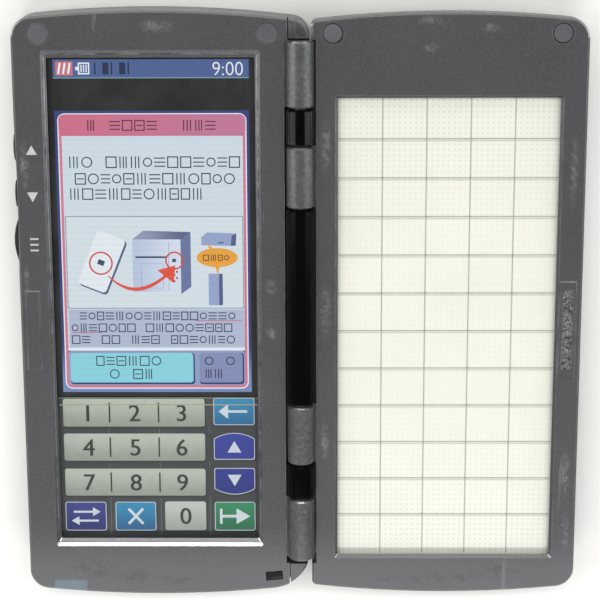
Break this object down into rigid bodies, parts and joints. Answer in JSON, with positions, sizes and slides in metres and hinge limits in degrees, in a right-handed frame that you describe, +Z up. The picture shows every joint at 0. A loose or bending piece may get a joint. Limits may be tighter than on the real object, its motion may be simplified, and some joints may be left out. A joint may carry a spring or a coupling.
{
  "type": "folding handheld ordering terminal",
  "caption": "Two-fold handheld ordering terminal: a main unit with touch screen and printed keypad, hinged to a menu touch panel, opened flat.",
  "frame": {"origin": "on the table under the hinge axis, at mid-length", "axes": "+Z up, +Y towards the terminal's top end, main unit on -X and menu panel on +X"},
  "size_m": [0.1517, 0.1608, 0.0183],
  "materials": {
    "case_paint": "satin",
    "gloss_black": "gloss",
    "touch_glass": "gloss",
    "screen_glass": "gloss",
    "key_print": "satin",
    "menu_print": "satin",
    "mark_white": "matte",
    "key_black": "matte",
    "light_pane": "gloss",
    "dark_pane": "gloss",
    "steel": "satin",
    "shield_steel": "satin",
    "magnet_metal": "rough",
    "cap_plastic": "matte",
    "circuit_board": "satin",
    "chip_black": "matte",
    "frame_metal": "satin",
    "seal_foam": "matte",
    "battery_wrap": "matte",
    "contact_gold": "polished",
    "ribbon_film": "satin",
    "connector_white": "matte",
    "lamp_white": "gloss"
  },
  "bodies": {
    "main_unit": {"main_front_case": "case_paint", "main_rear_case": "case_paint", "window_gasket": "seal_foam", "touch_panel": "touch_glass", "keypad_sheet": "key_print", "lcd_module": "screen_glass", "display_frame": "frame_metal", "main_board": "circuit_board", "processor": "chip_black", "memory_chips": "chip_black", "power_chip": "chip_black", "backup_cell": "steel", "buzzer": "chip_black", "infrared_module": "chip_black", "radio_board": "circuit_board", "radio_shield": "shield_steel", "antenna": "contact_gold", "battery_pack": "battery_wrap", "battery_contacts": "connector_white", "charge_contacts": "contact_gold", "infrared_window": "dark_pane", "light_window": "light_pane", "lamp_board": "circuit_board", "status_lamps": "lamp_white", "side_switches": "shield_steel", "side_key_board": "circuit_board", "case_screws": "steel", "main_screw_caps": "cap_plastic", "catch_plate": "steel", "hinge_pin_upper": "steel", "hinge_pin_lower": "steel", "hinge_cover_upper": "gloss_black", "hinge_cover_middle": "gloss_black", "hinge_cover_lower": "gloss_black", "friction_sleeves": "steel", "ribbon_coil": "ribbon_film", "ribbon_connector": "connector_white"},
    "menu_panel": {"panel_front_case": "case_paint", "panel_rear_case": "case_paint", "panel_gasket": "seal_foam", "menu_touch_panel": "touch_glass", "menu_sheet": "menu_print", "backing_plate": "frame_metal", "panel_board": "circuit_board", "panel_chip": "chip_black", "magnet_bar": "magnet_metal", "panel_screw_caps": "cap_plastic", "panel_screws": "steel", "ribbon_tail": "ribbon_film", "panel_connector": "connector_white"},
    "battery_cover": {"battery_cover": "case_paint"},
    "battery_latch": {"battery_latch": "key_black"},
    "side_key_up": {"side_key_up": "key_black"},
    "side_key_down": {"side_key_down": "key_black"},
    "side_key_enter": {"side_key_enter": "key_black"}
  },
  "joints": [
    {"name": "fold", "type": "hinge", "parent": "main_unit", "child": "menu_panel", "pos_m": [0, 0, 0.01455], "axis": [0, -1, 0], "range_deg": [0, 180]},
    {"name": "side_key_up_press", "type": "slide", "parent": "main_unit", "child": "side_key_up", "axis": [1, 0, 0], "range_m": [0, 0.0005], "stiffness_N_per_m": 1500},
    {"name": "side_key_down_press", "type": "slide", "parent": "main_unit", "child": "side_key_down", "axis": [1, 0, 0], "range_m": [0, 0.0005], "stiffness_N_per_m": 1500},
    {"name": "side_key_enter_press", "type": "slide", "parent": "main_unit", "child": "side_key_enter", "axis": [1, 0, 0], "range_m": [0, 0.0005], "stiffness_N_per_m": 1500},
    {"name": "cover_slide", "type": "slide", "parent": "main_unit", "child": "battery_cover", "axis": [0, -1, 0], "range_m": [0, 0.008]},
    {"name": "latch_slide", "type": "slide", "parent": "main_unit", "child": "battery_latch", "axis": [1, 0, 0], "range_m": [0, 0.0025], "stiffness_N_per_m": 300}
  ]
}
